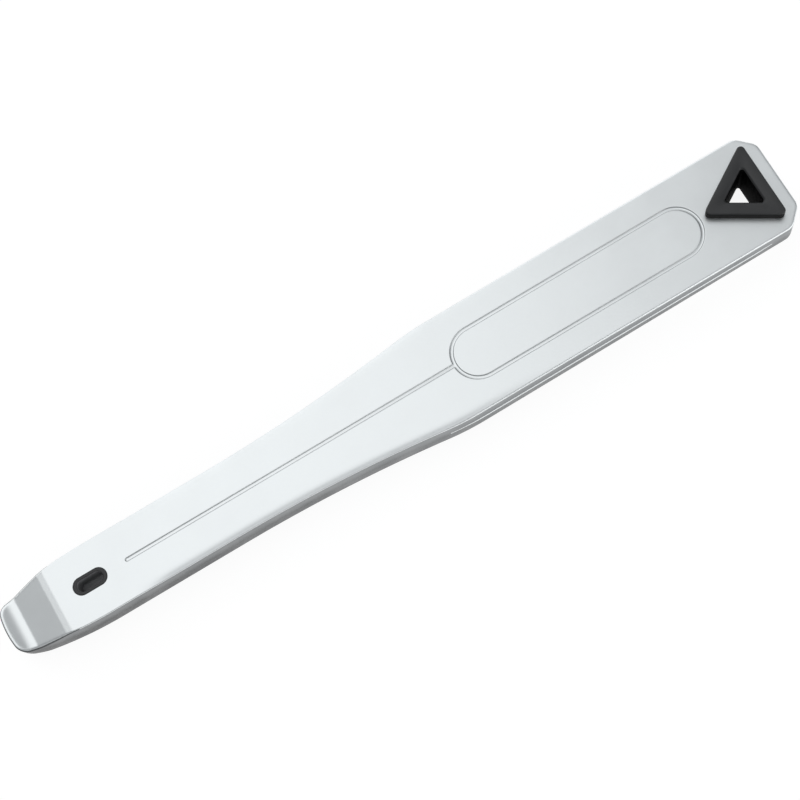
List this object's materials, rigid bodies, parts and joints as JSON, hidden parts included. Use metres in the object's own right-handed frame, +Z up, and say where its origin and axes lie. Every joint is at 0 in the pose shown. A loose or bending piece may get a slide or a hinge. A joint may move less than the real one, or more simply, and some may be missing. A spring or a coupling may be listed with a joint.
{
  "type": "tyre lever",
  "caption": "Forged tyre lever with a scooped tip, a slim shaft, a wide tapered handle, a moulded pocket near the tip and a triangular hanging eyelet in the butt.",
  "frame": {"origin": "middle of the resting face: halfway between tip and butt, on the centre line, at the height of the back", "axes": "+X from the scooped tip to the butt, +Y across the width, +Z up through the face that carries the scoop and the eyelet's rim"},
  "size_m": [0.2032, 0.0254, 0.0133],
  "materials": {
    "forged_alloy": "fine satin, blasted and clear anodised; the scoop is polished",
    "black_nylon": "fine moulded satin"
  },
  "bodies": {
    "root": {"lever_body": "forged_alloy", "pocket_insert": "black_nylon", "eyelet_collar": "black_nylon", "eyelet_back_ring": "black_nylon"}
  },
  "joints": []
}
